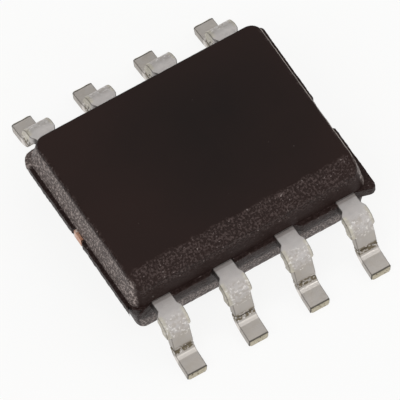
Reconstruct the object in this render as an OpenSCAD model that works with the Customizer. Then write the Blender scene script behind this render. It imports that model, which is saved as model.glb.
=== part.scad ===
// Small-outline surface-mount chip: a moulded body with eight gull-wing leads, all in millimetres.
// X runs along the two rows of leads, Y from the bevelled front row to the back row, Z up.
// The origin is under the middle of the body, on the plane that the feet stand on.

/* [Body] */
// Length of the moulded body along the rows, measured at the leads
body_l = 4.86; // [4.7:0.02:5.2]
// Width of the moulded body across the rows, measured at the leads
body_w = 3.80; // [3.7:0.05:4.0]
// Air gap under the body
standoff = 0.15; // [0.10:0.01:0.25]
// Height of the upper half, above the leads
upper_h = 0.63; // [0.55:0.01:0.75]
// Height of the lower half, below the leads
lower_h = 0.68; // [0.55:0.01:0.75]
// Draft of the upper half's two long walls, in degrees
upper_draft = 10; // [4:0.5:12]
// Draft of the lower half's two long walls, in degrees
lower_draft = 7.5; // [4:0.5:12]
// Draft of both halves' end walls, in degrees
end_draft = 9; // [4:0.5:12]
// Radius of the upright corners at the leads
corner_r = 0.24; // [0.10:0.01:0.40]
// How far the bevel along the front edge runs in over the top face
bevel_in = 0.32; // [0.15:0.01:0.45]
// How far the bevel runs down the front wall
bevel_down = 0.18; // [0.08:0.01:0.30]

/* [Flash] */
// How far the thin flash between the leads stands out from the long walls
flash_side = 0.09; // [0.03:0.01:0.12]
// How far the flash stands out from the end walls
flash_end = 0.10; // [0.03:0.01:0.12]
// Radius of the flash's corners
flash_r = 0.09; // [0.05:0.01:0.25]
// Clear length in front of the left tie bar, where the flash is broken away
left_gap_front = 0.02; // [0.01:0.01:0.40]
// Clear length behind the left tie bar
left_gap_back = 0.09; // [0.01:0.01:0.40]
// Clear length in front of the right tie bar
right_gap_front = 0.35; // [0.01:0.01:0.60]
// Clear length behind the right tie bar
right_gap_back = 0.02; // [0.01:0.01:0.40]

/* [Leads] */
// Distance between neighbouring leads in a row
lead_pitch = 1.27; // [1.22:0.01:1.32]
// Distance across the two rows, toe to toe
lead_span = 6.20; // [5.9:0.05:6.4]
// Thickness of the lead sheet
lead_t = 0.20; // [0.17:0.01:0.25]
// Width of a leg and its foot
lead_w = 0.40; // [0.31:0.01:0.50]
// Inside radius of the upper bend
upper_bend_r = 0.09; // [0.05:0.01:0.14]
// Inside radius of the lower bend
lower_bend_r = 0.12; // [0.05:0.01:0.16]
// Lean of a leg from upright, in degrees
leg_lean = 15; // [5:1:20]
// Length of the straight part of a foot
foot_l = 0.34; // [0.25:0.01:0.40]
// Slope of a foot down to its toe, in degrees
foot_angle = 9; // [2:1:12]
// Length of the flat under a toe
toe_flat = 0.12; // [0.05:0.01:0.16]
// How far the sheared dam bar stands out on the left of a lead
dam_left = 0.06; // [0.02:0.005:0.10]
// How far the sheared dam bar stands out on the right of a lead
dam_right = 0.045; // [0.02:0.005:0.10]
// Distance from the long wall at which the rest of the dam bar begins
dam_start = 0.20; // [0.10:0.01:0.24]
// Length over which it widens to its full size
dam_rise = 0.12; // [0.04:0.01:0.16]
// How far the sheared dam bar runs down along a leg from its top, on the left
dam_down_left = 0.39; // [0.25:0.01:0.42]
// How far it runs down on the right
dam_down_right = 0.26; // [0.20:0.01:0.42]

/* [Inner leads] */
// Gap between the inner leads and the paddle
inner_gap = 0.18; // [0.15:0.01:0.25]
// Width of the wide head on a middle lead
head_w = 0.74; // [0.55:0.01:0.85]
// Length of that head
head_l = 0.22; // [0.15:0.01:0.30]
// Distance from the middle of the body at which a corner lead ends
corner_tip = 0.62; // [0.45:0.01:0.80]
// How far the anchor barb stands out from a corner lead
barb_out = 0.12; // [0.06:0.01:0.15]
// Length of the anchor barb
barb_l = 0.22; // [0.10:0.01:0.30]

/* [Paddle] */
// Width of the die paddle, across the rows
paddle_w = 2.25; // [1.9:0.05:2.3]
// Drop of the paddle below the plane of the leads
downset = 0.20; // [0.10:0.01:0.25]
// Width of the tie bars at the paddle's two ends
tie_w = 0.25; // [0.15:0.01:0.35]
// How far the left tie bar's cut end stands out from the end wall
tie_out_left = 0.07; // [0.02:0.01:0.12]
// How far the right tie bar's cut end stands out
tie_out_right = 0.02; // [0.02:0.01:0.12]
// Length of the sloping part of a tie bar
tie_slope_l = 0.35; // [0.30:0.01:0.45]

/* [Die] */
// Length of the die, along the rows
die_l = 1.60; // [1.3:0.05:2.4]
// Width of the die, across the rows
die_w = 1.30; // [1.0:0.05:1.6]
// Thickness of the die
die_t = 0.28; // [0.20:0.01:0.30]
// Thickness of the adhesive under the die
attach_t = 0.03; // [0.02:0.005:0.05]
// How far the adhesive shows past the die
attach_out = 0.04; // [0.02:0.01:0.08]

/* [Bond wires] */
// Diameter of the gold wire
wire_d = 0.03; // [0.025:0.005:0.04]
// Rise of a wire's loop above the line between its ends
loop_h = 0.16; // [0.10:0.01:0.20]
// Diameter of the ball on the die
ball_d = 0.08; // [0.06:0.01:0.10]
// Height of the ball on the die
ball_h = 0.02; // [0.01:0.005:0.04]
// Distance of a bond from the edge of the die or the end of its lead
bond_inset = 0.10; // [0.08:0.01:0.12]
// Distance of the middle leads' bond pads from the die's centre, along the rows
middle_pad = 0.40; // [0.30:0.01:0.50]
// Distance of the corner leads' bond pads from the die's centre, across the rows
corner_pad = 0.30; // [0.20:0.01:0.35]

/* [Hidden] */

BODY_COLOUR = [0.20, 0.16, 0.15];
TIN_COLOUR = [0.78, 0.76, 0.73];
COPPER_COLOUR = [0.72, 0.45, 0.30];
SILICON_COLOUR = [0.42, 0.44, 0.50];
SILVER_COLOUR = [0.70, 0.70, 0.68];
GOLD_COLOUR = [0.84, 0.67, 0.28];

ROW = 4;                 // leads in a row
EXTRA = 1;               // how far cutters reach past what they cut
BEND_STEPS = 8;          // flats round a bend of the lead sheet
CORNER_FN = 32;          // facets of the body's upright corners
WIRE_STEPS = 18;         // rings along a bond wire
WIRE_SIDES = 8;          // sides of a bond wire

// Heights, from the seating plane up
lead_low = standoff + lower_h;
lead_top = lead_low + lead_t;
body_top = lead_top + upper_h;
paddle_low = lead_low - downset;
paddle_top = paddle_low + lead_t;
die_low = paddle_top + attach_t;
die_top = die_low + die_t;

// Plan sizes that follow from the leads
side_y = body_w / 2;
top_y = side_y - upper_h * tan(upper_draft);
corner_x = (ROW - 1) / 2 * lead_pitch;
paddle_l = 2 * (corner_x - lead_w / 2 - inner_gap);
head_y = paddle_w / 2 + inner_gap;

// The lead's side view: u is the distance out from the middle of the body.
// Both bends are arcs about their own centres, and the leg between them
// takes up the height that is left.
turn = 90 - leg_lean;
mid_upper_r = upper_bend_r + lead_t / 2;
mid_lower_r = lower_bend_r + lead_t / 2;
upper_z = lead_low - upper_bend_r;
toe_z = lead_t / 2 * cos(foot_angle) - toe_flat * tan(foot_angle);
toe_u = lead_span / 2 - lead_t / 2 * sin(foot_angle);
foot_drop = mid_lower_r * cos(foot_angle) + foot_l * sin(foot_angle);
bend_rise = (mid_upper_r + mid_lower_r) * cos(turn);
leg_l = (upper_z + bend_rise - foot_drop - toe_z) / sin(turn);
bends_u = (mid_upper_r + mid_lower_r) * sin(turn) + leg_l * cos(turn);
lower_u = toe_u - foot_l * cos(foot_angle) + mid_lower_r * sin(foot_angle);
upper_u = lower_u - bends_u;
lower_z = toe_z + foot_drop;

function lead_x(n) = ((n <= ROW ? n : 2 * ROW + 1 - n) - (ROW + 1) / 2) * lead_pitch;
function row_side(n) = n <= ROW ? -1 : 1;
function is_corner(n) = abs(lead_x(n)) > lead_pitch;
function arc(u, z, r, from, to) = [
  for (i = [0 : BEND_STEPS])
    let (a = from + (to - from) * i / BEND_STEPS)
    [u + r * sin(a), z + r * cos(a)]
];

// One half of the moulding, widest where it starts at the leads.
module drafted_half(h, side_draft) {
  narrowed_l = body_l - 2 * h * tan(end_draft);
  narrowed_w = body_w - 2 * h * tan(side_draft);
  linear_extrude(h, scale = [narrowed_l / body_l, narrowed_w / body_w])
    rounded_plan(body_l, body_w, corner_r);
}

module bevel_cutter() {
  wall_y = top_y + bevel_down * tan(upper_draft);
  run = wall_y - top_y + bevel_in;
  translate([0, bevel_in - top_y, body_top])
    rotate([atan2(bevel_down, run), 0, 0])
      translate([-body_l, -body_w / 2, 0])
        cube([2 * body_l, body_w / 2, EXTRA]);
}

module rounded_plan(l, w, r) {
  square([l - 2 * r, w], center = true);
  square([l, w - 2 * r], center = true);
  for (x = [-1, 1], y = [-1, 1])
    translate([x * (l / 2 - r), y * (w / 2 - r)])
      circle(r = r, $fn = CORNER_FN);
}

// Where the flash is broken away beside one tie bar, out past the end wall.
module flash_gap(side, front, back) {
  near_y = -tie_w / 2 - front;
  far_y = tie_w / 2 + back;
  translate([side > 0 ? body_l / 2 : -body_l / 2 - EXTRA, near_y])
    square([EXTRA, far_y - near_y]);
}

// The thin web that filled the mould between the leads, as thick as the lead sheet.
module flash() {
  translate([0, 0, lead_low])
    linear_extrude(lead_t)
      difference() {
        rounded_plan(body_l + 2 * flash_end, body_w + 2 * flash_side, flash_r);
        flash_gap(-1, left_gap_front, left_gap_back);
        flash_gap(1, right_gap_front, right_gap_back);
      }
}

module moulding() {
  difference() {
    union() {
      translate([0, 0, lead_top])
        drafted_half(upper_h, upper_draft);
      translate([0, 0, lead_low])
        mirror([0, 0, 1])
          drafted_half(lower_h, lower_draft);
      flash();
    }
    bevel_cutter();
  }
}

// The bent lead seen from its side, from inside the body to its toe.
module lead_profile() {
  toe = [toe_u, toe_z];
  up = [sin(foot_angle), cos(foot_angle)] * lead_t / 2;
  difference() {
    polygon(concat(
      [[head_y, lead_top]],
      arc(upper_u, upper_z, upper_bend_r + lead_t, 0, turn),
      arc(lower_u, lower_z, -lower_bend_r, turn, foot_angle),
      [toe + up, toe - up],
      arc(lower_u, lower_z, -lower_bend_r - lead_t, foot_angle, turn),
      arc(upper_u, upper_z, upper_bend_r, turn, 0),
      [[head_y, lead_low]]
    ));
    translate([0, -EXTRA])
      square([lead_span, EXTRA]);
  }
}

// Carries the side view out along the row, from x_low to x_high.
module lead_strip(x_low, x_high) {
  translate([x_low, 0, 0])
    rotate([90, 0, 90])
      linear_extrude(x_high - x_low)
        lead_profile();
}

// Plan of the shoulder, which widens some way out from the wall into the sheared dam bar.
module shoulder_plan() {
  start_y = side_y + dam_start;
  full_y = start_y + dam_rise;
  polygon([
    [-lead_w / 2, side_y],
    [lead_w / 2, side_y],
    [lead_w / 2, start_y],
    [lead_w / 2 + dam_right, full_y],
    [lead_w / 2 + dam_right, lead_span],
    [-lead_w / 2 - dam_left, lead_span],
    [-lead_w / 2 - dam_left, full_y],
    [-lead_w / 2, start_y]
  ]);
}

// What is left of the dam bar on one side of a lead, down to its sheared lower end.
module dam_bar_remnant(x_low, x_high, down) {
  intersection() {
    lead_strip(x_low, x_high);
    linear_extrude(body_top)
      shoulder_plan();
    translate([x_low, upper_u, lead_top])
      rotate([leg_lean, 0, 0])
        translate([0, -lead_span, -down])
          cube([x_high - x_low, 2 * lead_span, lead_span]);
  }
}

// Flat fingers inside the moulding, each with what keeps it from being pulled out.
module middle_finger_plan() {
  translate([-lead_w / 2, head_y])
    square([lead_w, side_y - head_y]);
  translate([-head_w / 2, head_y])
    square([head_w, head_l]);
}

module corner_finger_plan() {
  translate([-lead_w / 2, corner_tip])
    square([lead_w, side_y - corner_tip]);
  translate([0, (side_y + corner_tip) / 2 - barb_l / 2])
    square([lead_w / 2 + barb_out, barb_l]);
}

module lead(n) {
  color(TIN_COLOUR)
    translate([lead_x(n), 0, 0])
      mirror([0, row_side(n) < 0 ? 1 : 0, 0]) {
        lead_strip(-lead_w / 2, lead_w / 2);
        dam_bar_remnant(-lead_w / 2 - dam_left, 0, dam_down_left);
        dam_bar_remnant(0, lead_w / 2 + dam_right, dam_down_right);
        translate([0, 0, lead_low])
          linear_extrude(lead_t)
            if (is_corner(n))
              mirror([lead_x(n) < 0 ? 1 : 0, 0])
                corner_finger_plan();
            else
              middle_finger_plan();
      }
}

// One tie bar from the paddle's end up to the lead plane and out through the end wall.
module tie_bar_profile(out) {
  start_x = paddle_l / 2;
  level_x = start_x + tie_slope_l;
  end_x = body_l / 2 + out;
  polygon([
    [start_x - tie_w / 2, paddle_low],
    [start_x, paddle_low],
    [level_x, lead_low],
    [end_x, lead_low],
    [end_x, lead_top],
    [level_x, lead_top],
    [start_x, paddle_top],
    [start_x - tie_w / 2, paddle_top]
  ]);
}

module die_paddle() {
  color(COPPER_COLOUR) {
    translate([-paddle_l / 2, -paddle_w / 2, paddle_low])
      cube([paddle_l, paddle_w, lead_t]);
    for (side = [-1, 1])
      mirror([side < 0 ? 1 : 0, 0, 0])
        translate([0, tie_w / 2, 0])
          rotate([90, 0, 0])
            linear_extrude(tie_w)
              tie_bar_profile(side < 0 ? tie_out_left : tie_out_right);
  }
}

module die_attach() {
  color(SILVER_COLOUR)
    translate([-die_l / 2 - attach_out, -die_w / 2 - attach_out, paddle_top])
      cube([die_l + 2 * attach_out, die_w + 2 * attach_out, attach_t]);
}

module silicon_die() {
  color(SILICON_COLOUR)
    translate([-die_l / 2, -die_w / 2, die_low])
      cube([die_l, die_w, die_t]);
}

// Where wire n leaves the die, and where it lands on its lead.
function pad_xy(n) =
  let (sx = sign(lead_x(n)), sy = row_side(n))
  is_corner(n)
    ? [sx * (die_l / 2 - bond_inset), sy * corner_pad]
    : [sx * middle_pad, sy * (die_w / 2 - bond_inset)];
function land_xy(n) =
  [lead_x(n), row_side(n) * (is_corner(n) ? corner_tip + bond_inset : head_y + bond_inset)];

// A wire's centre line: it leaves the ball upright, and runs down in one long slope.
function wire_point(n, s) =
  let (
    from = pad_xy(n),
    to = land_xy(n),
    t = s * s,
    low = die_top + ball_h / 2,
    high = lead_top + wire_d / 2
  )
  [
    from[0] + (to[0] - from[0]) * t,
    from[1] + (to[1] - from[1]) * t,
    low + (high - low) * t + loop_h * sin(180 * s)
  ];
function unit(v) = v / norm(v);
function wire_ring(n, i) =
  let (
    s = i / WIRE_STEPS,
    half = 0.5 / WIRE_STEPS,
    along = unit(wire_point(n, min(1, s + half)) - wire_point(n, max(0, s - half))),
    flat = land_xy(n) - pad_xy(n),
    across = unit([-flat[1], flat[0], 0]),
    up = cross(along, across),
    middle = wire_point(n, s)
  )
  [
    for (k = [0 : WIRE_SIDES - 1])
      let (a = 360 * k / WIRE_SIDES)
      middle + wire_d / 2 * (cos(a) * across + sin(a) * up)
  ];

module wire_sweep(n) {
  points = [for (i = [0 : WIRE_STEPS]) each wire_ring(n, i)];
  sides = [
    for (i = [0 : WIRE_STEPS - 1], k = [0 : WIRE_SIDES - 1])
      let (
        a = i * WIRE_SIDES + k,
        b = i * WIRE_SIDES + (k + 1) % WIRE_SIDES
      )
      each [[a, a + WIRE_SIDES, b], [b, a + WIRE_SIDES, b + WIRE_SIDES]]
  ];
  start_cap = [for (k = [0 : WIRE_SIDES - 1]) k];
  end_cap = [for (k = [WIRE_SIDES - 1 : -1 : 0]) WIRE_STEPS * WIRE_SIDES + k];
  polyhedron(points = points, faces = concat([start_cap], sides, [end_cap]), convexity = 4);
}

module bond_wire(n) {
  pad = pad_xy(n);
  land = land_xy(n);
  color(GOLD_COLOUR) {
    wire_sweep(n);
    translate([pad[0], pad[1], die_top])
      cylinder(h = ball_h, d = ball_d, $fn = CORNER_FN);
    translate([land[0], land[1], lead_top])
      cylinder(h = wire_d / 2, d = 2 * wire_d, $fn = CORNER_FN);
  }
}

// The moulding fills all the space around the pieces that it seals in.
module moulded_body() {
  color(BODY_COLOUR)
    difference() {
      moulding();
      for (n = [1 : 2 * ROW]) {
        lead(n);
        bond_wire(n);
      }
      die_paddle();
      die_attach();
      silicon_die();
    }
}

moulded_body();
for (n = [1 : 2 * ROW]) {
  lead(n);
  bond_wire(n);
}
die_paddle();
die_attach();
silicon_die();
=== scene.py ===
# %% [markdown]
# # A small-outline chip
#
# The chip is a black moulded block about 5 mm long with four gull-wing leads along each
# side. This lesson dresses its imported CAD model: each step looks at one real piece, says
# how it could be made, and builds it as a surface worked out with numpy.
# Lengths below are in millimetres, and they become metres only when a mesh is written.

# %% Load the frame
import itertools
import math

import bpy
import numpy as np
from mathutils import Matrix, Vector


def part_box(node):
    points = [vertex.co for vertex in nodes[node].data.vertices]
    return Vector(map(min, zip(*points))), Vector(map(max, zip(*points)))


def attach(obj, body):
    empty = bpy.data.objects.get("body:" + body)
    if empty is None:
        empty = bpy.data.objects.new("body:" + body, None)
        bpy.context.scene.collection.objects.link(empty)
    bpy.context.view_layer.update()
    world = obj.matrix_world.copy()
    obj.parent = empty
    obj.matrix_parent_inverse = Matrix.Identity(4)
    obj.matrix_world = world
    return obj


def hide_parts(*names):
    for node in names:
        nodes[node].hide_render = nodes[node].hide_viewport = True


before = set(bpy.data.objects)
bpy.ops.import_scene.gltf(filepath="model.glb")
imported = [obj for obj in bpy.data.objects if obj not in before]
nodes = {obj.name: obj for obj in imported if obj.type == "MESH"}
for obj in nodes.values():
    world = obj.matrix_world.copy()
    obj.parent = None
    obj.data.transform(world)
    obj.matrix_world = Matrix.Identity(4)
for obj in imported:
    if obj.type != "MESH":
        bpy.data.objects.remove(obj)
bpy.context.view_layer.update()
MM = 0.001

# %% [markdown]
# ## Sizes
#
# The places of the pieces come from the boxes of the CAD nodes, so that the looks stay
# on the solids when a size changes. The few sizes that a box can't tell, such as the
# draft of a wall or the radius of a bend, are repeated here by name.

# %% Measure the CAD nodes
def box_mm(node):
    """Lowest and highest corner of a CAD node, in millimetres."""
    low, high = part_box(node)
    return np.array(low) / MM, np.array(high) / MM


ROW = 4                                   # leads in a row
body_low, body_high = box_mm("moulded_body")
middle_low, middle_high = box_mm("lead_2")
PITCH = box_mm("lead_3")[0][0] - middle_low[0]
BOTTOM, TOP = body_low[2], body_high[2]
SHEET = 0.20                              # thickness of the lead sheet
SHEET_TOP = middle_high[2]
SHEET_LOW = SHEET_TOP - SHEET
FLASH_SIDE = 0.09                         # how far the flash stands out from the long walls
HALF_L = 2.43                             # half length of the body at the leads
HALF_W = body_high[1] - FLASH_SIDE
BODY_X = -0.02                            # the body sits a little to the left of its leads
LEAD_W = 0.40                             # width of a leg
SPAN = -2 * middle_low[1]                 # toe to toe
print(f"pitch {PITCH:.2f}, body {2 * HALF_L:.2f} x {2 * HALF_W:.2f}, span {SPAN:.2f}")


def lead_x(n):
    """Middle of lead n along its row: leads 1 to 4 in front, 5 to 8 back again behind."""
    place = n if n <= ROW else 2 * ROW + 1 - n
    return (place - (ROW + 1) / 2) * PITCH


# %% [markdown]
# ## Tools for surfaces
#
# Every piece here is a closed shell made of rings, like the layers of an onion laid out
# in a row: each ring has the same number of points, and each point is joined to its
# neighbours on the ring and on the next ring. A ring is a rounded rectangle. Its points
# are a walk round a unit square plus a unit vector that points outwards, so one formula
# gives every ring at once: `corner * (half - radius) + outward * radius`.

# %% Rings of rounded rectangles
def walk(front, right, back, left, corner):
    """A walk round a rounded square, anticlockwise from its front left corner.

    Gives four arrays: the place on the unit square (cx, cy) and the outward unit
    vector (ox, oy). The numbers are the steps along each side and round each corner.
    """
    sides = [((-1, -1), (1, -1), front), ((1, -1), (1, 1), right),
             ((1, 1), (-1, 1), back), ((-1, 1), (-1, -1), left)]
    place, outward = [], []
    for k, (start, end, count) in enumerate(sides):
        t = np.arange(count)[:, None] / count
        place.append(np.array(start) * (1 - t) + np.array(end) * t)
        normal_angle = math.radians(-90 + 90 * k)
        outward.append(np.tile([math.cos(normal_angle), math.sin(normal_angle)], (count, 1)))
        turn = normal_angle + np.arange(corner) / corner * math.pi / 2
        place.append(np.tile(end, (corner, 1)))
        outward.append(np.stack([np.cos(turn), np.sin(turn)], -1))
    place, outward = np.concatenate(place), np.concatenate(outward)
    return place[:, 0], place[:, 1], outward[:, 0], outward[:, 1]


def outline(path, half_l, half_w, radius):
    """The x and y of rounded rectangles: corner * (half - radius) + outward * radius."""
    cx, cy, ox, oy = path
    return cx * (half_l - radius) + ox * radius, cy * (half_w - radius) + oy * radius


def body_outline(half_l, half_w, radius):
    """The same for a ring of the body, which isn't quite in the middle of its leads."""
    x, y = outline(BODY_WALK, half_l, half_w, radius)
    return x + BODY_X, y


# %% From rings to a mesh
def shell_object(name, rings, attributes=()):
    """A closed shell from rings of points in mm, shaped (ring, point, xyz).

    Each ring is joined to the next by four-sided faces, and the first and last rings
    are closed to a point at their middle. attributes holds (name, values) pairs, with
    one value for each ring point.
    """
    count, around = rings.shape[:2]
    tips = rings[[0, -1]].mean(axis=1)
    vertices = np.concatenate([rings.reshape(-1, 3), tips]) * MM
    i, j = np.meshgrid(np.arange(count - 1), np.arange(around), indexing="ij")
    after = (j + 1) % around
    quads = np.stack([i * around + j, (i + 1) * around + j,
                      (i + 1) * around + after, i * around + after], -1).reshape(-1, 4)
    j = np.arange(around)
    after = (j + 1) % around
    first_fan = np.stack([np.full(around, count * around), j, after], -1)
    last_row = (count - 1) * around
    last_fan = np.stack([np.full(around, count * around + 1), last_row + after, last_row + j], -1)
    mesh = bpy.data.meshes.new(name)
    mesh.from_pydata(vertices.tolist(), [], quads.tolist() + first_fan.tolist() + last_fan.tolist())
    mesh.shade_smooth()
    for title, values in attributes:
        flat = np.concatenate([values.reshape(-1), values[[0, -1]].mean(axis=1)])
        mesh.attributes.new(title, "FLOAT", "POINT").data.foreach_set("value", flat.astype(np.float32))
    piece = bpy.data.objects.new(name, mesh)
    bpy.context.scene.collection.objects.link(piece)
    print(f"{name}: {len(mesh.vertices)} points, {2 * len(quads) + 2 * around} triangles")
    return piece


# %% [markdown]
# Real surfaces are never quite flat. `lumps` is a smooth random height: random values
# sit on the corners of a grid of cubes, and a point takes a blend of the eight values
# round it. `push_out` then moves each point along its surface's normal, which is the
# cross product of the steps to the next point and to the next ring.

# %% Small random relief
LATTICE = 64


def lumps(points, size, seed):
    """Smooth random heights from -1 to 1 at points, in lumps about size across."""
    table = np.random.default_rng(seed).uniform(-1, 1, (LATTICE,) * 3)
    cell = points / size
    low = np.floor(cell).astype(int)
    share = cell - low
    share = share * share * (3 - 2 * share)
    total = np.zeros(points.shape[:-1])
    for corner in itertools.product((0, 1), repeat=3):
        weight = np.prod(np.where(corner, share, 1 - share), axis=-1)
        i, j, k = np.moveaxis((low + corner) % LATTICE, -1, 0)
        total += weight * table[i, j, k]
    return total


def push_out(rings, height):
    """Moves each ring point by height along the outward normal of the surface there."""
    along = np.gradient(rings, axis=0)
    around = np.roll(rings, -1, axis=1) - np.roll(rings, 1, axis=1)
    normal = np.cross(along, around)
    length = np.linalg.norm(normal, axis=-1, keepdims=True)
    return rings + height[..., None] * normal / np.maximum(length, 1e-12)


def smooth_step(low, high, value):
    """0 below low, 1 above high, and an S-shaped rise between."""
    t = np.clip((value - low) / (high - low), 0, 1)
    return t * t * (3 - 2 * t)


# %% [markdown]
# ## The moulded body
#
# The body is epoxy pressed into a two-part steel mould round the leads. Both halves
# taper away from the leads, so that they leave the mould, and a flat bevel along the
# front edge shows which way round the chip goes. A box with a Bevel modifier would give
# neither the taper nor the grain. Rings that start in the middle of the top face, run
# down the walls and close in the middle of the bottom give all of it as one shell.
#
# The bevel is a sloping plane. Wherever the plane lies under the top face, the surface
# follows the plane: `min(top, plane)`.

# %% Sizes of the mould
SIDE_DRAFT = math.tan(math.radians(10))   # lean of the upper half's long walls
END_DRAFT = math.tan(math.radians(9))     # and of its end walls
LOWER_DRAFT = math.tan(math.radians(7.5))
LOWER_END_DRAFT = math.tan(math.radians(10.5))
CORNER_R = 0.24                           # upright corners of the upper half
FOOT_CORNER_R = 0.15                      # and at the bottom of the lower half
FLASH_R = 0.07                            # corners of the flash
WORN_CORNER = 0.17                        # how much rounder its back left corner is
BEVEL_IN, BEVEL_DOWN = 0.32, 0.18
EDGE_R = 0.045                            # wear on the mould's edges rounds the chip's
BEVEL_Y = -(HALF_W - (TOP - SHEET_TOP) * SIDE_DRAFT - BEVEL_IN)
BEVEL_SLOPE = BEVEL_DOWN / (BEVEL_IN + BEVEL_DOWN * SIDE_DRAFT)
ROOT_RECESS = 0.020                       # how far the epoxy shrank from a lead's root
BODY_WALK = walk(front=330, right=120, back=150, left=190, corner=16)


def roof(y, crease=0.02):
    """Height of the top: the lower of the flat top and the bevel's plane, with the
    crease between them softened over a few hundredths of a millimetre."""
    plane = TOP + (y - BEVEL_Y) * BEVEL_SLOPE
    gap = (TOP - plane) / crease
    return TOP - crease * np.logaddexp(0, 2 * gap) / 2


# %% The rings of the body
def upper_halves(z):
    """Half length and half width of the upper half at height z."""
    rise = z - SHEET_TOP
    return HALF_L - rise * END_DRAFT, HALF_W - rise * SIDE_DRAFT


def lower_halves(z):
    """Half length and half width of the lower half at height z."""
    drop = SHEET_LOW - z
    return HALF_L - drop * LOWER_END_DRAFT, HALF_W - drop * LOWER_DRAFT


def wall_top():
    """For each point of the walk, the height at which its wall meets the roof.

    A wall point's y is linear in z, and so is the bevel, so the meeting is the
    solution of one linear equation.
    """
    _, cy, _, oy = BODY_WALK
    y_foot = cy * (HALF_W - CORNER_R) + oy * CORNER_R
    lean = -cy * SIDE_DRAFT
    level = TOP + (y_foot - lean * SHEET_TOP - BEVEL_Y) * BEVEL_SLOPE
    return np.minimum(TOP, level / (1 - lean * BEVEL_SLOPE))


def stack(x, y, z):
    """Three arrays that broadcast together, as one array of points."""
    return np.stack(np.broadcast_arrays(x, y, z), -1)


def top_rings():
    """From the middle of the top face out to the rounded edge, then round it."""
    z_wall = wall_top()
    half_l, half_w = upper_halves(z_wall)
    inset = np.concatenate([np.linspace(0.44, 0.10, 26, endpoint=False),
                            np.linspace(0.10, EDGE_R, 5, endpoint=False)])[:, None]
    x, y = body_outline(half_l - inset, half_w - inset, np.maximum(CORNER_R - inset, 0.03))
    face = stack(x, y, roof(y))
    shrink = np.array([0.04, 0.2, 0.36, 0.5, 0.62, 0.74, 0.84, 0.92, 0.97])[:, None]
    middle = stack(shrink * x[0], shrink * y[0], TOP)
    turn = np.radians(np.linspace(90, 0, 7, endpoint=False))[:, None]
    inset = EDGE_R * (1 - np.cos(turn))
    x, y = body_outline(half_l - inset, half_w - inset, CORNER_R - inset)
    edge = stack(x, y, roof(y) - EDGE_R * (1 - np.sin(turn)))
    return np.concatenate([middle, face, edge])


def root_recess(x, y, z):
    """1 where a wall point lies just above a lead's root, where the epoxy shrank away."""
    above_lead = np.zeros(np.broadcast_shapes(x.shape, z.shape))
    for n in range(1, ROW + 1):
        above_lead = np.maximum(above_lead, np.abs(x - lead_x(n)) < LEAD_W / 2 + ROOT_GAP)
    return above_lead * (np.abs(y) > HALF_W - 0.1) * (z < SHEET_TOP + ROOT_RECESS)


def upper_wall_rings():
    """Down the upper walls, with closer rings near the leads."""
    share = np.concatenate([np.linspace(1, 0.08, 25, endpoint=False),
                            np.linspace(0.08, 0, 6)])[:, None]
    z = SHEET_TOP + share * (wall_top() - EDGE_R - SHEET_TOP)
    half_l, half_w = upper_halves(z)
    x, y = body_outline(half_l, half_w, CORNER_R)
    return stack(x, y - np.sign(y) * ROOT_RECESS * root_recess(x, y, z), z)


def lower_rings():
    """Down the lower walls, round the bottom edge and in to the middle of the bottom."""
    z = np.linspace(SHEET_LOW, BOTTOM + EDGE_R, 17)[:, None]
    half_l, half_w = lower_halves(z)
    share = (SHEET_LOW - z) / (SHEET_LOW - BOTTOM)
    wall = stack(*body_outline(half_l, half_w, CORNER_R + (FOOT_CORNER_R - CORNER_R) * share), z)
    turn = np.radians(np.linspace(0, 90, 6))[1:, None]
    half_l, half_w = lower_halves(BOTTOM)
    inset = EDGE_R * (1 - np.cos(turn))
    x, y = body_outline(half_l - inset, half_w - inset, FOOT_CORNER_R - inset)
    edge = stack(x, y, BOTTOM + EDGE_R * (1 - np.sin(turn)))
    shrink = np.array([0.95, 0.85, 0.7, 0.5, 0.25, 0.04])[:, None]
    middle = stack(shrink * x[-1], shrink * y[-1], BOTTOM)
    return np.concatenate([wall, edge, middle])


# %% [markdown]
# ### The flash
#
# A little epoxy creeps between the leads as far as the dam bar and stays there as a thin
# web, as thick as the lead sheet. At both ends it is broken away beside the tie bar. In
# the rings it is a ledge: two rings that step out, a side, and two rings that step back.
# Beside each lead the web stops a hair short, which leaves the thin dark gap there.

# %% The rings of the flash
TIE_HALF = 0.125                          # half width of a tie bar
LEFT_GAP = (-TIE_HALF - 0.02, TIE_HALF + 0.03)
RIGHT_GAP = (-TIE_HALF - 0.35, TIE_HALF + 0.02)
BARE_CORNER = (-2.22, -1.62)              # left of and in front of this the flash is a mere rim
BARE_REACH = 0.35                         # of the flash's width
ROOT_GAP = 0.022                          # thin dark gap beside a lead's root
RAGGED = 0.012                            # how uneven the flash's broken edge is
END_FLASH = 0.17                          # thickness of the flash along the end walls


def flash_reach():
    """How much of the flash's width stands at each point of the walk, from 0 to 1."""
    ox, oy = BODY_WALK[2:]
    x, y = body_outline(HALF_L, HALF_W, CORNER_R)
    reach = np.ones_like(x)
    for side, (low, high) in ((-1, LEFT_GAP), (1, RIGHT_GAP)):
        inside = (ox * side > 0.9) & (y > low) & (y < high)
        reach[inside] = 0
    for n in range(1, 2 * ROW + 1):
        row = -1 if n <= ROW else 1
        beside = np.abs(x - lead_x(n)) - LEAD_W / 2
        reach[(oy * row > 0.9) & (beside < ROOT_GAP)] = 0
    reach[(x < BARE_CORNER[0]) & (y < BARE_CORNER[1])] = BARE_REACH
    return reach


def flash_edge():
    """The outer edge of the flash: the CAD box, with its back left corner rounded more by wear."""
    cx, cy = BODY_WALK[:2]
    radius = FLASH_R + WORN_CORNER * np.maximum(0, -cx) * np.maximum(0, cy)
    return outline(BODY_WALK, body_high[0], body_high[1], radius)


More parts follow.
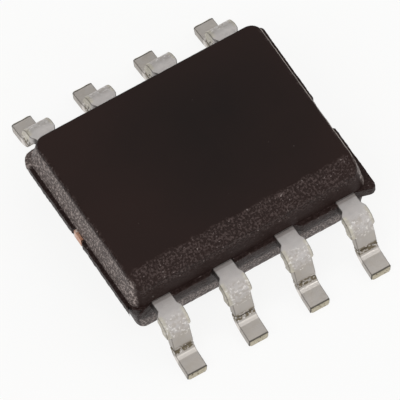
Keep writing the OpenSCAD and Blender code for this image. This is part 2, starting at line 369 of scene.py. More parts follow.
def flash_rings():
    """Out along the ledge above the flash, down its side and back in under it."""
    reach = flash_reach()
    foot = stack(*body_outline(HALF_L, HALF_W, CORNER_R), SHEET_TOP)
    rim = stack(*flash_edge(), SHEET_TOP)
    ragged = RAGGED * (0.5 * lumps(rim, 0.12, 11) + 0.5 * lumps(rim, 0.045, 12) - 1)
    share = np.array([0.06, 0.3, 0.6, 0.86, 0.97, 1.0, 1.0, 0.97, 0.9, 0.6, 0.3, 0.06])[:, None]
    thick = SHEET - (SHEET - END_FLASH) * np.abs(BODY_WALK[2])
    down = np.array([0, 0, 0, 0, 0.03, 0.1, 0.9, 0.97, 1, 1, 1])[:, None]
    z = SHEET_TOP - np.concatenate([thick * down, np.full((1, len(reach)), SHEET)])
    step = (rim - foot)[None, :, :2] * (share * reach)[..., None]
    width = np.linalg.norm(step, axis=-1, keepdims=True)
    step = step * (1 + ragged[None, :, None] * share[..., None] / np.maximum(width, 0.02))
    x = foot[None, :, 0] + step[..., 0]
    y = foot[None, :, 1] + step[..., 1]
    return stack(x, y, z)


# %% [markdown]
# ### The finish of the mould
#
# The mould's top cavity is polished for the printing, so the top face is nearly smooth.
# Its bevel and its end walls keep the coarse grain of spark erosion, and that grain is
# real relief a few thousandths of a millimetre high, so it is pushed into the mesh. Three
# attributes keep the finish of each place for the material: how coarse the grain is; a
# light tone that is partly the lighter grain and partly painted light, as on the end walls
# lit from the side and in a band low on the lower walls that stands for the floor's
# reflection, with painted shadow under the flash; and a painted highlight along the top's
# right edge and the flash's rim at the ends.

# %% Make the body
def grain_map(rings):
    """Three masks from 0 to 1 for the body's finish: grain, light tone and rim highlight.

    The first is how coarse the mould was. The second is partly the lighter grain of the
    eroded walls and partly painted light: the end walls painted lighter as lit from the
    side, a light band low on the lower walls that stands for the floor's reflection and
    is left dark just under the flash as painted shadow, and the flash painted light at
    the back left corner. The third is a painted highlight along the top's right edge and
    along the bare rim of the flash at both ends.
    """
    x, y, z = rings[..., 0] - BODY_X, rings[..., 1], rings[..., 2]
    uneven = 0.03 * lumps(rings, 0.12, 5)
    facing = smooth_step(0.45, 0.80, np.abs(BODY_WALK[2]))
    front = smooth_step(-BEVEL_Y - 0.02, -BEVEL_Y + 0.05, uneven - y)
    front = front * smooth_step(HALF_L - 0.13, HALF_L - 0.25, np.abs(x) + uneven)
    low_wall = smooth_step(SHEET_TOP + 0.40, SHEET_TOP + 0.20, z)
    ends = facing * smooth_step(HALF_L - 0.17, HALF_L - 0.09, np.abs(x) + uneven)
    back = smooth_step(HALF_W - 0.14, HALF_W - 0.06, y + uneven)
    bottom = smooth_step(BOTTOM + 0.06, BOTTOM + 0.01, z)
    ledge = (z < SHEET_TOP + 0.001) & (z > SHEET_LOW - 0.001)
    corner = (x < -HALF_L + 0.25) & (y > HALF_W - 0.25)

    grain = np.maximum.reduce([front * (1 - 0.85 * low_wall), 0.9 * ends, 0.6 * back])
    # Painted light: the end walls are made lighter as if lit from the side, and low on the lower walls a
    # light band stands for the floor's reflection and stays dark under the flash as painted shadow; the
    # flash at the back left corner is painted light too. The rest is the lighter grain.
    lit_end_wall = ends * smooth_step(TOP - 0.04, TOP - 0.12, z)
    floor_reflection_band = smooth_step(BOTTOM + 0.42, BOTTOM + 0.32, z) * (1 - 0.6 * bottom)
    pale_and_lit = np.where(z > SHEET_TOP, np.maximum(lit_end_wall, 0.06 * grain), floor_reflection_band * (1 - 0.8 * facing))
    pale_and_lit = np.where(ledge, corner, pale_and_lit)
    grain = np.where(z > SHEET_TOP, grain, 0.95 - 0.6 * bottom)
    grain = np.where(ledge, 0.5 + 0.4 * corner, grain)

    # Painted highlight: a patchy light line along the flash's bare rim at both ends, stronger in front,
    # and along the top's right edge.
    side = (z < SHEET_TOP - 0.02) & (z > SHEET_TOP - 0.12) & (np.abs(x) > HALF_L + 0.01)
    patchy = np.clip(0.55 + 0.7 * lumps(rings, 0.2, 6), 0, 1)
    rim = ledge * side * patchy * smooth_step(0.9, -0.6, y)
    highlit_top_edge = (BODY_WALK[2] > 0.9) * (z > TOP - 0.05) * smooth_step(HALF_L - 0.125, HALF_L - 0.11, x)
    return grain, pale_and_lit, np.maximum(rim, 0.6 * highlit_top_edge * (0.4 + 0.6 * patchy))


GRAIN_HEIGHT = 0.009
BOX_MARGIN = 1e-5                         # keeps the relief just inside the CAD box
body_rings = np.concatenate([top_rings(), upper_wall_rings(), flash_rings(), lower_rings()])
grain, pale_and_lit, chipped_and_highlit = grain_map(body_rings)
relief = 0.7 * lumps(body_rings, 0.042, 1) + 0.3 * lumps(body_rings, 0.085, 2)
waves = 0.0012 * lumps(body_rings, 0.9, 3)
body_rings = push_out(body_rings, GRAIN_HEIGHT * grain * (relief - 0.6) + waves - 0.0012)
body_rings = np.clip(body_rings, body_low + BOX_MARGIN, body_high - BOX_MARGIN)
moulding = shell_object("epoxy_moulding", body_rings,
                        [("grain", grain), ("pale_and_lit", pale_and_lit), ("chipped_and_highlit", chipped_and_highlit)])

# %% [markdown]
# ## The leads
#
# A lead is a strip of plated sheet, bent twice: down past the body and out again into a
# foot. Bending doesn't stretch the middle of the sheet, so its side view is a path whose
# heading changes evenly along each bend. Adding up the headings gives the path, and a
# rounded rectangle carried along it gives the strip. Where the strip is wider, as at the
# rest of the dam bar and the anchor inside the epoxy, the rectangle is wider.

# %% The path of a lead
LEAN, FOOT_SLOPE = 15, 9                  # of the leg from upright, of the foot from level
UPPER_R, LOWER_R = 0.09 + SHEET / 2, 0.12 + SHEET / 2
FOOT_L, TOE_FLAT = 0.34, 0.12
STEEP = 90 - LEAN


def lead_lengths():
    """Length of each stretch after the shoulder: upper bend, leg, lower bend, foot.

    The leg is as long as the height that the bends and the foot leave for it.
    """
    steep, slope = math.radians(STEEP), math.radians(FOOT_SLOPE)
    toe_z = SHEET / 2 * math.cos(slope) - TOE_FLAT * math.tan(slope)
    drop = (UPPER_R * (1 - math.cos(steep)) + LOWER_R * (math.cos(slope) - math.cos(steep))
            + FOOT_L * math.sin(slope))
    leg = (SHEET_TOP - SHEET / 2 - toe_z - drop) / math.sin(steep)
    return UPPER_R * steep, leg, LOWER_R * (steep - slope), FOOT_L


TOE_ROOM = 0.0135                         # room inside the span for the lip of the cut face


def lead_path(start, stations):
    """Places and headings of the sheet's middle line in its side view.

    stations are lengths along the strip, with 0 where the upper bend starts. The
    heading is 0 on the shoulder, and the path is the running sum of its steps.
    """
    lengths = np.cumsum(lead_lengths())
    fine = np.linspace(start, lengths[-1], 4001)
    heading = np.radians(np.interp(fine, [0, *lengths[:3]], [0, STEEP, STEEP, FOOT_SLOPE]))
    step = np.diff(fine, prepend=fine[0])
    u, z = np.cumsum(np.cos(heading) * step), -np.cumsum(np.sin(heading) * step)
    u += SPAN / 2 - TOE_ROOM - SHEET / 2 * math.sin(math.radians(FOOT_SLOPE)) - u[-1]
    z += SHEET_TOP - SHEET / 2
    along = np.interp(stations, fine, heading)
    return np.interp(stations, fine, u), np.interp(stations, fine, z), along


upper_bend, leg, lower_bend, foot = lead_lengths()
HEEL = upper_bend + leg                   # where the lower bend starts
FOOT_START = HEEL + lower_bend
STRIP_END = FOOT_START + foot
shoulder_u = lead_path(-0.5, np.array([0.0]))[0][0]
WALL = HALF_W - shoulder_u                # where the strip leaves the body
print(f"shoulder ends at {shoulder_u:.3f}, leg {leg:.3f}, strip {STRIP_END:.3f} mm from there")

# %% [markdown]
# ### The width of the strip
#
# Until the leads were cut free, a dam bar tied them together just outside the body. The
# punch that sheared it off left a stub on both sides, longer on the left. Inside the
# body the middle leads end in a wide head and the corner leads carry a barb, and both
# keep a lead from being pulled out.

# %% Widths along a lead
DAM_LEFT, DAM_RIGHT = 0.07, 0.045
DAM_START, DAM_RISE = 0.20, 0.12          # from the wall
DAM_END_LEFT, DAM_END_RIGHT = 0.36, 0.24  # along the strip
HEAD_W, HEAD_L, HEAD_Y = 0.74, 0.22, 1.305
CORNER_TIP, BARB_OUT, BARB_L = 0.62, 0.12, 0.22


def stub(stations, wide, end):
    """Extra width of a dam bar stub: it widens outside the wall and ends in a shear."""
    grow = smooth_step(WALL + DAM_START, WALL + DAM_START + DAM_RISE, stations)
    return wide * grow * smooth_step(end + 0.006, end - 0.006, stations)


def lead_stations(n):
    """Lengths along the strip at which it has a ring, closer where it shows."""
    inner = CORNER_TIP if is_corner(n) else HEAD_Y
    start = inner - shoulder_u
    hidden = np.linspace(start, WALL - 0.02, 26, endpoint=False)
    shown = np.linspace(WALL - 0.02, STRIP_END, 150)
    return start, np.concatenate([hidden, shown])


def is_corner(n):
    """True for the leads at the four corners of the body."""
    return abs(lead_x(n)) > PITCH


def anchor(n, stations, side):
    """Extra width inside the body, on the side towards +x or -x."""
    u = shoulder_u + stations
    if not is_corner(n):
        return (HEAD_W - LEAD_W) / 2 * smooth_step(HEAD_Y + HEAD_L + 0.01, HEAD_Y + HEAD_L - 0.01, u)
    middle = (HALF_W + CORNER_TIP) / 2
    outer = side * lead_x(n) > 0
    return BARB_OUT * smooth_step(BARB_L / 2 + 0.01, BARB_L / 2 - 0.01, np.abs(u - middle)) * outer


# %% [markdown]
# ### The strip itself
#
# Stamping leaves the upper edges of the sheet rounded. The bending tool presses a line
# of small marks across the strip just above the heel, and the plating is dimpled where
# the sheet was stretched at the upper bend.

# %% Make the leads
SECTION = walk(front=16, right=5, back=16, left=5, corner=5)
SHEET_EDGE_R = 0.021
CUT_R = 0.018                             # rounding at the cut toe
HEEL_THINNING = 0.25                      # how much the bending tool flattens the heel's underside
TOE_RIM = slice(-10, -5)                  # the last rings before the cut face, with a dark edge
TOE_FACE = slice(-5, None)                # the rings of the cut face
PAST_END = 1.0                            # added to the length along the strip on the cut face
UPPER_BURR = 0.65                         # how dark the upper edges are beside the lower ones


def strip_rings(n):
    """The rings of lead n, and for each point its length along the strip."""
    row = -1 if n <= ROW else 1
    start, stations = lead_stations(n)
    u, z, heading = lead_path(start, stations)
    left = LEAD_W / 2 + stub(stations, DAM_LEFT, DAM_END_LEFT) + anchor(n, stations, -1)
    right = LEAD_W / 2 + stub(stations, DAM_RIGHT, DAM_END_RIGHT) + anchor(n, stations, 1)
    positive, negative = (right, left) if row > 0 else (left, right)
    half = (positive + negative) / 2
    shift = (positive - negative) / 2
    across, above = outline(SECTION, half[:, None], SHEET / 2, SHEET_EDGE_R)
    coined = HEEL_THINNING * np.exp(-((stations - HEEL - lower_bend / 2) / 0.16) ** 2)
    above = np.where(above < 0, above * (1 - coined[:, None]), above)
    across = across + shift[:, None]
    x = lead_x(n) + row * across
    y = row * (u[:, None] + above * np.sin(heading)[:, None])
    height = z[:, None] + above * np.cos(heading)[:, None]
    rings = stack(x, y, height)
    return rings, np.broadcast_to(stations[:, None], x.shape)


def cut_toe(rings, along):
    """Adds the rounded rim and the slightly hollow cut face at the end of a strip."""
    last, before = rings[-1], rings[-2]
    forward = last - before
    forward = forward.mean(axis=0) / np.linalg.norm(forward.mean(axis=0))
    middle = last.mean(axis=0)
    turn = np.radians([20, 45, 70, 90])[:, None, None]
    reach = np.linalg.norm(last - middle, axis=-1)[None, :, None]
    rim = last + (middle - last) * CUT_R * (1 - np.cos(turn)) / reach + forward * CUT_R * np.sin(turn)
    share = np.array([0.9, 0.7, 0.45, 0.2])[:, None, None]
    face = middle + (rim[-1] - middle) * share
    rings = np.concatenate([rings[:-1], rim - forward * CUT_R, face])
    extra = len(rings) - len(along)
    return rings, np.concatenate([along, np.repeat(along[-1:] + PAST_END, extra, axis=0)])


def marks_and_light_places(along, across, corners, sides):
    """Where a lead's plating looks different, as attributes from 0 to 1.

    Each is a band along the strip, between two smooth steps, or a side of it. Some are
    marks on the plating, and some are painted light and shade: the darker legs and feet,
    the dark band at the root, the dark line above the lower bend, the bright strip on
    the lower bend, the glints at the bends and the dark sides near the body.
    """
    def band(start, stop, soft):
        return smooth_step(start, start + soft, along) * smooth_step(stop, stop - soft, along)

    stub_side = smooth_step(LEAD_W / 2 - 0.02, LEAD_W / 2 + 0.005, across)
    return {
        "root": band(WALL - 1, WALL + 0.075, 0.02),
        "bend": band(0.0, 0.46, 0.10),
        "shaded_legs_and_feet": smooth_step(0.20, 0.42, along),
        "crimp": band(HEEL - 0.15, HEEL + 0.08, 0.06),
        "shaded_groove": band(HEEL - 0.085, HEEL - 0.035, 0.02),
        "lit_heel": band(HEEL + 0.10, FOOT_START + 0.02, 0.03),
        "stub": band(-0.02, 0.40, 0.03) * stub_side,
        "shaded_sides": band(WALL - 1, WALL + DAM_START + 0.08, 0.06) * sides,
        "edge": corners,
        "sheared": smooth_step(STRIP_END + 0.5 * PAST_END, STRIP_END + 0.9 * PAST_END, along),
    }


def make_lead(n):
    """One gull-wing lead, which stands for the CAD node of the same number."""
    rings, along = strip_rings(n)
    rings, along = cut_toe(rings, along)
    across = np.abs(rings[..., 0] - lead_x(n))
    burr = np.where(SECTION[3] < 0, 1.0, UPPER_BURR)
    corners = np.broadcast_to(2 * burr * np.abs(SECTION[2] * SECTION[3]), along.shape).copy()
    corners[TOE_RIM] = 1
    corners[TOE_FACE] = 0
    sides = np.broadcast_to(smooth_step(0.6, 0.95, np.abs(SECTION[2])), along.shape)
    marks_and_light = marks_and_light_places(along, across, corners, sides)
    shown = smooth_step(WALL, WALL + 0.05, along)
    dimple = lumps(rings, 0.05, 20 + n) * (0.0012 + 0.0025 * marks_and_light["bend"])
    marks = marks_and_light["crimp"] * (0.003 + 0.005 * lumps(rings, 0.035, 40 + n)) + 0.008 * marks_and_light["shaded_groove"]
    rings = push_out(rings, shown * (dimple - marks) - 0.001)
    rings[..., 2] = np.maximum(rings[..., 2], 0)
    return shell_object(f"gull_wing_lead_{n}", rings, marks_and_light.items())


leads = {n: make_lead(n) for n in range(1, 2 * ROW + 1)}

# %% Tie the pieces to the frame
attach(moulding, "root")
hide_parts("moulded_body")
for n, piece in leads.items():
    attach(piece, "root")
    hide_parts(f"lead_{n}")

# %% [markdown]
# ## Finishes
#
# Three effects turn up in more than one finish, so each is a node group that is built
# once: soft mottling between two values, fine grain, and sharp little specks.

# %% Shader node groups
def new_group(name, inputs, outputs):
    """An empty shader node group with its sockets: (name, type, default) for inputs."""
    group = bpy.data.node_groups.new(name, "ShaderNodeTree")
    for title, kind, default in inputs:
        socket = group.interface.new_socket(title, in_out="INPUT", socket_type=f"NodeSocket{kind}")
        if default is not None:
            socket.default_value = default
    for title, kind in outputs:
        group.interface.new_socket(title, in_out="OUTPUT", socket_type=f"NodeSocket{kind}")
    return group, group.nodes.new("NodeGroupInput"), group.nodes.new("NodeGroupOutput")


def add(tree, kind, links=(), **settings):
    """Adds one node, sets its properties and sockets, and links what feeds it."""
    node = tree.nodes.new(kind)
    for key, value in settings.items():
        if hasattr(node, key):
            setattr(node, key, value)
        else:
            node.inputs[key.replace("_", " ")].default_value = value
    for socket, source in links:
        tree.links.new(source, node.inputs[socket])
    return node


def make_mottle():
    """Soft patches: noise stretched between 0 and 1 by Low and High."""
    group, start, end = new_group(
        "soft_mottle",
        [("Vector", "Vector", None), ("Scale", "Float", 1000.0),
         ("Low", "Float", 0.4), ("High", "Float", 0.6)],
        [("Mask", "Float")])
    noise = add(group, "ShaderNodeTexNoise", [("Vector", start.outputs["Vector"]),
                                              ("Scale", start.outputs["Scale"])], Detail=3.0)
    spread = add(group, "ShaderNodeMapRange", [("Value", noise.outputs["Fac"]),
                                               ("From Min", start.outputs["Low"]),
                                               ("From Max", start.outputs["High"])])
    group.links.new(spread.outputs["Result"], end.inputs["Mask"])
    return group


def make_grain():
    """Grain: the distances to random points give rounded crumbs, roughened by noise."""
    group, start, end = new_group(
        "cast_grain",
        [("Vector", "Vector", None), ("Scale", "Float", 30000.0), ("Fine", "Float", 0.4)],
        [("Height", "Float")])
    crumbs = add(group, "ShaderNodeTexVoronoi", [("Vector", start.outputs["Vector"]),
                                                 ("Scale", start.outputs["Scale"])])
    double = add(group, "ShaderNodeMath", [(0, start.outputs["Scale"])], operation="MULTIPLY")
    double.inputs[1].default_value = 2.3
    noise = add(group, "ShaderNodeTexNoise", [("Vector", start.outputs["Vector"]),
                                              ("Scale", double.outputs[0])], Detail=2.0)
    fine = add(group, "ShaderNodeMath", [(0, noise.outputs["Fac"]), (1, start.outputs["Fine"])],
               operation="MULTIPLY")
    total = add(group, "ShaderNodeMath", [(0, fine.outputs[0]), (1, crumbs.outputs["Distance"])],
                operation="SUBTRACT")
    group.links.new(total.outputs[0], end.inputs["Height"])
    return group


def make_specks():
    """Sharp specks: the peaks of fine noise above a threshold."""
    group, start, end = new_group(
        "bright_specks",
        [("Vector", "Vector", None), ("Scale", "Float", 30000.0), ("Threshold", "Float", 0.7)],
        [("Mask", "Float")])
    noise = add(group, "ShaderNodeTexNoise", [("Vector", start.outputs["Vector"]),
                                              ("Scale", start.outputs["Scale"])], Detail=1.0)
    higher = add(group, "ShaderNodeMath", [(0, start.outputs["Threshold"])], operation="ADD")
    higher.inputs[1].default_value = 0.06
    peak = add(group, "ShaderNodeMapRange", [("Value", noise.outputs["Fac"]),
                                             ("From Min", start.outputs["Threshold"]),
                                             ("From Max", higher.outputs[0])])
    group.links.new(peak.outputs["Result"], end.inputs["Mask"])
    return group


MOTTLE, GRAIN, SPECKS = make_mottle(), make_grain(), make_specks()
print("node groups:", [g.name for g in bpy.data.node_groups])

# %% Helpers for materials
def new_material(name):
    """A material with its Principled shader and its Object coordinates."""
    material = bpy.data.materials.new(name)
    material.use_nodes = True
    tree = material.node_tree
    shader = tree.nodes["Principled BSDF"]
    place = tree.nodes.new("ShaderNodeTexCoord").outputs["Object"]
    return material, tree, shader, place


def grouped(tree, group, place, **values):
    """One use of a node group at place, with its own values."""
    node = tree.nodes.new("ShaderNodeGroup")
    node.node_tree = group
    tree.links.new(place, node.inputs["Vector"])
    for key, value in values.items():
        node.inputs[key].default_value = value
    return node.outputs[0]


def blend_colour(tree, share, first, second):
    """first turned into second by share; each is a colour or a socket."""
    node = tree.nodes.new("ShaderNodeMix")
    node.data_type = "RGBA"
    for socket, value in ((0, share), (6, first), (7, second)):
        if isinstance(value, bpy.types.NodeSocket):
            tree.links.new(value, node.inputs[socket])
        else:
            node.inputs[socket].default_value = (*value, 1) if socket else value
    return node.outputs[2]


def math_of(tree, a, b, operation="MULTIPLY"):
    """a and b, sockets or numbers, put together by a Math node."""
    node = tree.nodes.new("ShaderNodeMath")
    node.operation = operation
    for k, value in enumerate((a, b)):
        if isinstance(value, bpy.types.NodeSocket):
            tree.links.new(value, node.inputs[k])
        else:
            node.inputs[k].default_value = value
    return node.outputs[0]


def stored(tree, title):
    """The values of a mesh attribute."""
    node = tree.nodes.new("ShaderNodeAttribute")
    node.attribute_name = title
    return node.outputs["Fac"]


def bump(tree, shader, height, distance):
    """Feeds a height through a Bump node into the shader's Normal."""
    node = tree.nodes.new("ShaderNodeBump")
    node.inputs["Distance"].default_value = distance
    node.inputs["Strength"].default_value = 1.0
    tree.links.new(height, node.inputs["Height"])
    tree.links.new(node.outputs["Normal"], shader.inputs["Normal"])


# %% [markdown]
# ### Mould compound
#
# The epoxy is filled with glass powder and soot. It is a warm near-black, and where the
# mould was coarse the broken surface scatters more light, so the grain is paler and
# rougher there. Single grains get painted glints. The end walls and a band low on the
# lower walls are painted lighter, as lit from the side and as reflecting the floor, and
# the band stays dark under the flash as painted shadow. A painted highlight runs along
# the top's right edge and the flash's rim at the ends.

# %% Mould compound material
DARKEST = (0.55 * MM, 0.35 * MM, 1.66 * MM)   # place on the top that is least brown
NEAR, FAR = 0.3 * MM, 2.4 * MM            # from there the brown grows between these distances


def mould_compound():
    material, tree, shader, place = new_material("mould_compound")
    coarse, pale_and_lit, chipped_and_highlit = (stored(tree, title) for title in ("grain", "pale_and_lit", "chipped_and_highlit"))
    patches = grouped(tree, MOTTLE, place, Scale=700.0, Low=0.30, High=0.70)
    distance = add(tree, "ShaderNodeVectorMath", [(0, place)], operation="DISTANCE")
    distance.inputs[1].default_value = DARKEST
    away = add(tree, "ShaderNodeMapRange", [("Value", distance.outputs["Value"])])
    away.inputs["From Min"].default_value = NEAR
    away.inputs["From Max"].default_value = FAR
    brown = math_of(tree, math_of(tree, away.outputs["Result"], 0.75), math_of(tree, patches, 0.3), "ADD")
    base = blend_colour(tree, brown, (0.0050, 0.0036, 0.0034), (0.0165, 0.0080, 0.0066))
    crumbs = grouped(tree, GRAIN, place, Scale=24000.0, Fine=0.6)
    light_crumbs = grouped(tree, MOTTLE, place, Scale=25000.0, Low=0.48, High=0.64)
    base = blend_colour(tree, math_of(tree, light_crumbs, coarse), base, (0.056, 0.037, 0.034))
    # The lighter grain, partly painted light: the lit end walls and the floor's painted reflection low on
    # the lower walls.
    pale_lit_grain = blend_colour(tree, light_crumbs, (0.10, 0.080, 0.074), (0.44, 0.37, 0.345))
    base = blend_colour(tree, pale_and_lit, base, pale_lit_grain)
    # Painted highlight along the top's right edge and the flash's bare rim.
    base = blend_colour(tree, chipped_and_highlit, base, (0.62, 0.54, 0.48))
    # Painted glints on single grains.
    painted_glints = grouped(tree, SPECKS, place, Scale=17000.0, Threshold=0.70)
    base = blend_colour(tree, math_of(tree, painted_glints, coarse), base, (0.22, 0.18, 0.17))
    dust = grouped(tree, SPECKS, place, Scale=9000.0, Threshold=0.79)
    base = blend_colour(tree, dust, base, (0.10, 0.085, 0.08))
    tree.links.new(base, shader.inputs["Base Color"])
    shader.inputs["Specular IOR Level"].default_value = 0.2
    shader.inputs["Specular Tint"].default_value = (1.0, 0.80, 0.76, 1)
    rough = tree.nodes.new("ShaderNodeMapRange")
    rough.inputs["To Min"].default_value = 0.5
    rough.inputs["To Max"].default_value = 0.4
    tree.links.new(coarse, rough.inputs["Value"])
    tree.links.new(rough.outputs["Result"], shader.inputs["Roughness"])
    weight = math_of(tree, math_of(tree, coarse, 0.96), 0.04, "ADD")
    bump(tree, shader, math_of(tree, crumbs, weight), 0.016 * MM)
    return material


# %% [markdown]
# ### Tin plate
#
# Electroplated tin is a matt, slightly warm grey metal with a very fine crystal grain.
# Copper shows through a little where the sheet was cut after plating, at the toes, and
# where the plating was stretched or scraped, which gives the yellowish tinge there. Some
# light and shade is painted into the plating too: glints at the bends, a bright strip at
# the heel, a dark line just above it, darker legs and feet, and shade at the root and on
# the sides next to the body.

# %% Tin plate material
def tin_plate():
    material, tree, shader, place = new_material("tin_plate")
    marks_and_light = {title: stored(tree, title) for title in (
        "root", "bend", "shaded_legs_and_feet", "crimp", "shaded_groove", "lit_heel", "stub", "shaded_sides", "edge", "sheared")}
    patches = grouped(tree, MOTTLE, place, Scale=2600.0, Low=0.3, High=0.7)
    base = blend_colour(tree, patches, (0.58, 0.54, 0.52), (0.66, 0.63, 0.61))
    # Painted shade: the legs and feet darker than the shoulders, as they face away from the light.
    shaded_tin = blend_colour(tree, patches, (0.47, 0.43, 0.385), (0.56, 0.52, 0.48))
    base = blend_colour(tree, marks_and_light["shaded_legs_and_feet"], base, shaded_tin)
    base = blend_colour(tree, math_of(tree, marks_and_light["stub"], 0.8), base, (0.66, 0.62, 0.50))
    tarnish = grouped(tree, MOTTLE, place, Scale=8000.0, Low=0.35, High=0.65)
    base = blend_colour(tree, math_of(tree, tarnish, 0.35), base, (0.52, 0.50, 0.49))
    dimples = grouped(tree, MOTTLE, place, Scale=17000.0, Low=0.44, High=0.62)
    dimpled = math_of(tree, dimples, math_of(tree, marks_and_light["bend"], 0.55))
    base = blend_colour(tree, dimpled, base, (0.44, 0.39, 0.34))
    # Painted glints: white specks at the upper bend and above the heel.
    bright = grouped(tree, SPECKS, place, Scale=19000.0, Threshold=0.60)
    glint_bands = math_of(tree, math_of(tree, marks_and_light["bend"], 0.7), marks_and_light["crimp"], "ADD")
    base = blend_colour(tree, math_of(tree, bright, glint_bands), base, (0.86, 0.83, 0.80))
    scraped = grouped(tree, SPECKS, place, Scale=17000.0, Threshold=0.44)
    base = blend_colour(tree, math_of(tree, scraped, marks_and_light["crimp"]), base, (0.20, 0.165, 0.11))
    # Painted shade: a dark line in the groove just above the heel, standing for the dark reflection in
    # the bend.
    dark_line_mottle = grouped(tree, MOTTLE, place, Scale=7000.0, Low=0.36, High=0.52)
    base = blend_colour(tree, math_of(tree, dark_line_mottle, marks_and_light["shaded_groove"]), base, (0.08, 0.065, 0.05))
    # Painted highlight: a bright strip on the heel where its bend catches the light.
    base = blend_colour(tree, marks_and_light["lit_heel"], base, (0.78, 0.73, 0.68))
    # Painted shade: a darker band on the shoulder where it leaves the body, for the body's shadow there.
    base = blend_colour(tree, math_of(tree, marks_and_light["root"], 0.5), base, (0.26, 0.21, 0.19))
    specks = grouped(tree, SPECKS, place, Scale=26000.0, Threshold=0.60)
    cut = blend_colour(tree, specks, (0.55, 0.50, 0.385), (0.22, 0.18, 0.12))
    base = blend_colour(tree, marks_and_light["sheared"], base, cut)
    base = blend_colour(tree, math_of(tree, marks_and_light["edge"], 0.9), base, (0.10, 0.09, 0.075))
    # Painted shade: the sides of the strip dark near the body, where the flash and the dam bar stubs
    # shade them.
    base = blend_colour(tree, math_of(tree, marks_and_light["shaded_sides"], 0.9), base, (0.03, 0.022, 0.02))
    tree.links.new(base, shader.inputs["Base Color"])
    shader.inputs["Metallic"].default_value = 0.7
    rough = tree.nodes.new("ShaderNodeMapRange")
    rough.inputs["To Min"].default_value = 0.50
    rough.inputs["To Max"].default_value = 0.60
    tree.links.new(patches, rough.inputs["Value"])
    burnished = math_of(tree, rough.outputs["Result"], math_of(tree, marks_and_light["lit_heel"], 0.15), "SUBTRACT")
    tree.links.new(burnished, shader.inputs["Roughness"])
    crystals = grouped(tree, GRAIN, place, Scale=42000.0, Fine=0.8)
    bump(tree, shader, crystals, 0.0018 * MM)
    return material


# %% [markdown]
# ### Inside the epoxy
#
# The paddle is bare copper alloy with rolling marks along its length; only the cut ends
# of its tie bars show, in the middle of the two end walls. The die, its glue and the
# wires are sealed in, but they are finished too, because the model may be cut open.

# %% Materials of the inner pieces
def copper():
    material, tree, shader, place = new_material("copper")
    stretch = add(tree, "ShaderNodeMapping", [("Vector", place)])
    stretch.inputs["Scale"].default_value = (0.15, 1, 1)
    lines = grouped(tree, MOTTLE, stretch.outputs["Vector"], Scale=14000.0, Low=0.3, High=0.7)
    base = blend_colour(tree, lines, (0.50, 0.25, 0.16), (0.66, 0.38, 0.26))
    # Painted glints: pale specks for the glints on the cut ends of the tie bars.
    pale_and_lit = grouped(tree, SPECKS, place, Scale=9000.0, Threshold=0.58)
    base = blend_colour(tree, pale_and_lit, base, (0.80, 0.66, 0.58))
    tree.links.new(base, shader.inputs["Base Color"])
    shader.inputs["Metallic"].default_value = 0.85
    shader.inputs["Roughness"].default_value = 0.42
    bump(tree, shader, lines, 0.002 * MM)
    return material


def silver_adhesive():
    material, tree, shader, place = new_material("silver_adhesive")
    flakes = grouped(tree, SPECKS, place, Scale=26000.0, Threshold=0.55)
    base = blend_colour(tree, flakes, (0.42, 0.42, 0.40), (0.72, 0.72, 0.70))
    tree.links.new(base, shader.inputs["Base Color"])
    shader.inputs["Metallic"].default_value = 0.5
    shader.inputs["Roughness"].default_value = 0.55
    bump(tree, shader, grouped(tree, GRAIN, place, Scale=20000.0), 0.003 * MM)
    return material


def silicon():
    material, tree, shader, place = new_material("silicon")
    tint = grouped(tree, MOTTLE, place, Scale=1500.0, Low=0.3, High=0.7)
    base = blend_colour(tree, tint, (0.10, 0.11, 0.15), (0.14, 0.13, 0.18))
    tree.links.new(base, shader.inputs["Base Color"])
    shader.inputs["Metallic"].default_value = 0.6
    shader.inputs["Roughness"].default_value = 0.18
    bump(tree, shader, grouped(tree, GRAIN, place, Scale=15000.0), 0.0005 * MM)
    return material


def gold():
    material, tree, shader, place = new_material("gold")
    tint = grouped(tree, MOTTLE, place, Scale=9000.0, Low=0.3, High=0.7)
    base = blend_colour(tree, tint, (0.83, 0.58, 0.19), (0.90, 0.68, 0.28))
    tree.links.new(base, shader.inputs["Base Color"])
    shader.inputs["Metallic"].default_value = 1.0
    shader.inputs["Roughness"].default_value = 0.25
    bump(tree, shader, tint, 0.0006 * MM)
    return material


# %% Dress every piece
def dress(piece, material):
    """Puts one material on a whole piece."""
    piece.data.materials.clear()
    piece.data.materials.append(material)


finish = {"mould": mould_compound(), "tin": tin_plate(), "copper": copper(),
          "silver": silver_adhesive(), "silicon": silicon(), "gold": gold()}
dress(moulding, finish["mould"])
for piece in leads.values():
    dress(piece, finish["tin"])
dress(nodes["die_paddle"], finish["copper"])
dress(nodes["die_attach"], finish["silver"])
dress(nodes["silicon_die"], finish["silicon"])
for n in leads:
    dress(nodes[f"bond_wire_{n}"], finish["gold"])
print("materials:", sorted(m.name for m in bpy.data.materials))

# %% [markdown]
# ## Stage, light and camera
#
# The chip stands on a plain white sweep under soft light. To the camera and in
# reflections the floor is mostly its own white, and the rest is lit, so the floor stays
# even and still keeps the chip's soft shadow.

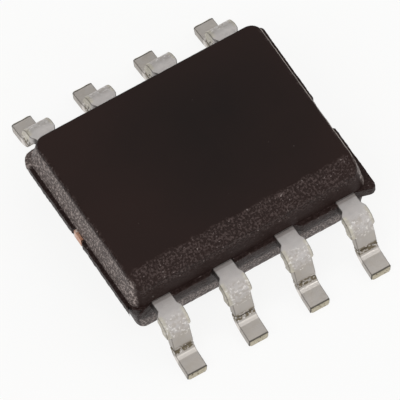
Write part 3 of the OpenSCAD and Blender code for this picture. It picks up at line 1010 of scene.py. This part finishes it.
# %% The floor
def make_floor():
    """A plain square floor."""
    half = 0.6
    mesh = bpy.data.meshes.new("floor")
    mesh.from_pydata([(-half, -half, 0), (half, -half, 0), (half, half, 0), (-half, half, 0)],
                     [], [(0, 1, 2, 3)])
    floor = bpy.data.objects.new("floor", mesh)
    bpy.context.scene.collection.objects.link(floor)
    material, tree, shader, _ = new_material("floor_white")
    shader.inputs["Base Color"].default_value = (0.88, 0.88, 0.875, 1)
    shader.inputs["Roughness"].default_value = 1.0
    glow = tree.nodes.new("ShaderNodeEmission")
    glow.inputs["Color"].default_value = (1.0, 1.0, 0.995, 1)
    ray = tree.nodes.new("ShaderNodeLightPath").outputs
    seen = math_of(tree, ray["Is Camera Ray"], ray["Is Glossy Ray"], "MAXIMUM")
    seen = math_of(tree, seen, ray["Is Transmission Ray"], "MAXIMUM")
    mix = tree.nodes.new("ShaderNodeMixShader")
    tree.links.new(math_of(tree, seen, 0.88), mix.inputs["Fac"])
    tree.links.new(shader.outputs["BSDF"], mix.inputs[1])
    tree.links.new(glow.outputs["Emission"], mix.inputs[2])
    tree.links.new(mix.outputs["Shader"], tree.nodes["Material Output"].inputs["Surface"])
    dress(floor, material)


make_floor()


# %% Lamps and the room
def softbox(name, azimuth, elevation, distance, size, radiance):
    """A square soft light that faces the chip. Its power gives it that radiance."""
    a, e = math.radians(azimuth), math.radians(elevation)
    towards = Vector((math.sin(a) * math.cos(e), -math.cos(a) * math.cos(e), math.sin(e)))
    lamp = bpy.data.lights.new(name, "AREA")
    lamp.shape = "SQUARE"
    lamp.size = size
    lamp.energy = radiance * math.pi * size * size
    holder = bpy.data.objects.new(name, lamp)
    holder.location = towards * distance
    holder.rotation_mode = "QUATERNION"
    holder.rotation_quaternion = towards.to_track_quat("Z", "Y")
    bpy.context.scene.collection.objects.link(holder)


softbox("front_left_softbox", -62, 48, 0.30, 0.22, 2.0)
softbox("front_low_softbox", 15, 28, 0.30, 0.09, 4.5)
softbox("right_softbox", 75, 45, 0.30, 0.18, 1.4)
softbox("overhead_softbox", 150, 62, 0.30, 0.20, 0.9)

world = bpy.data.worlds.new("room")
bpy.context.scene.world = world
world.use_nodes = True
room = world.node_tree
dim = room.nodes["Background"]
dim.inputs["Color"].default_value = (0.36, 0.36, 0.36, 1)
white = room.nodes.new("ShaderNodeBackground")
white.inputs["Color"].default_value = (0.97, 0.97, 0.97, 1)
choose = room.nodes.new("ShaderNodeMixShader")
room.links.new(room.nodes.new("ShaderNodeLightPath").outputs["Is Camera Ray"], choose.inputs["Fac"])
room.links.new(dim.outputs["Background"], choose.inputs[1])
room.links.new(white.outputs["Background"], choose.inputs[2])
room.links.new(choose.outputs["Shader"], room.nodes["World Output"].inputs["Surface"])

# %% [markdown]
# The camera is far away with a long lens, as for a product picture of something this
# small, so the chip's edges stay nearly parallel. It looks down from the front left and
# is rolled a little to its side.

# %% The camera
AZIMUTH, ELEVATION, ROLL = (math.radians(v) for v in (-26.50, 58.85, -5.26))
DISTANCE = 0.224685                       # in metres
VIEW_WIDTH = 7.14 * MM                    # what the view takes in at the chip
back = Vector((math.sin(AZIMUTH) * math.cos(ELEVATION),
               -math.cos(AZIMUTH) * math.cos(ELEVATION), math.sin(ELEVATION)))
right = Vector((math.cos(AZIMUTH), math.sin(AZIMUTH), 0))
up = back.cross(right)
rolled_right = right * math.cos(ROLL) + up * math.sin(ROLL)
rolled_up = up * math.cos(ROLL) - right * math.sin(ROLL)
camera_data = bpy.data.cameras.new("camera")
camera_data.sensor_width = 36
camera_data.lens = camera_data.sensor_width * DISTANCE / VIEW_WIDTH
camera_data.shift_x, camera_data.shift_y = -0.0020, 0.00075   # sets the chip in the frame
camera_data.clip_start, camera_data.clip_end = 0.01, 10
camera = bpy.data.objects.new("camera", camera_data)
turned = Matrix((rolled_right, rolled_up, back)).transposed()
camera.matrix_world = Matrix.Translation(back * DISTANCE) @ turned.to_4x4()
bpy.context.scene.collection.objects.link(camera)
bpy.context.scene.camera = camera
bpy.context.scene.view_settings.view_transform = "Standard"
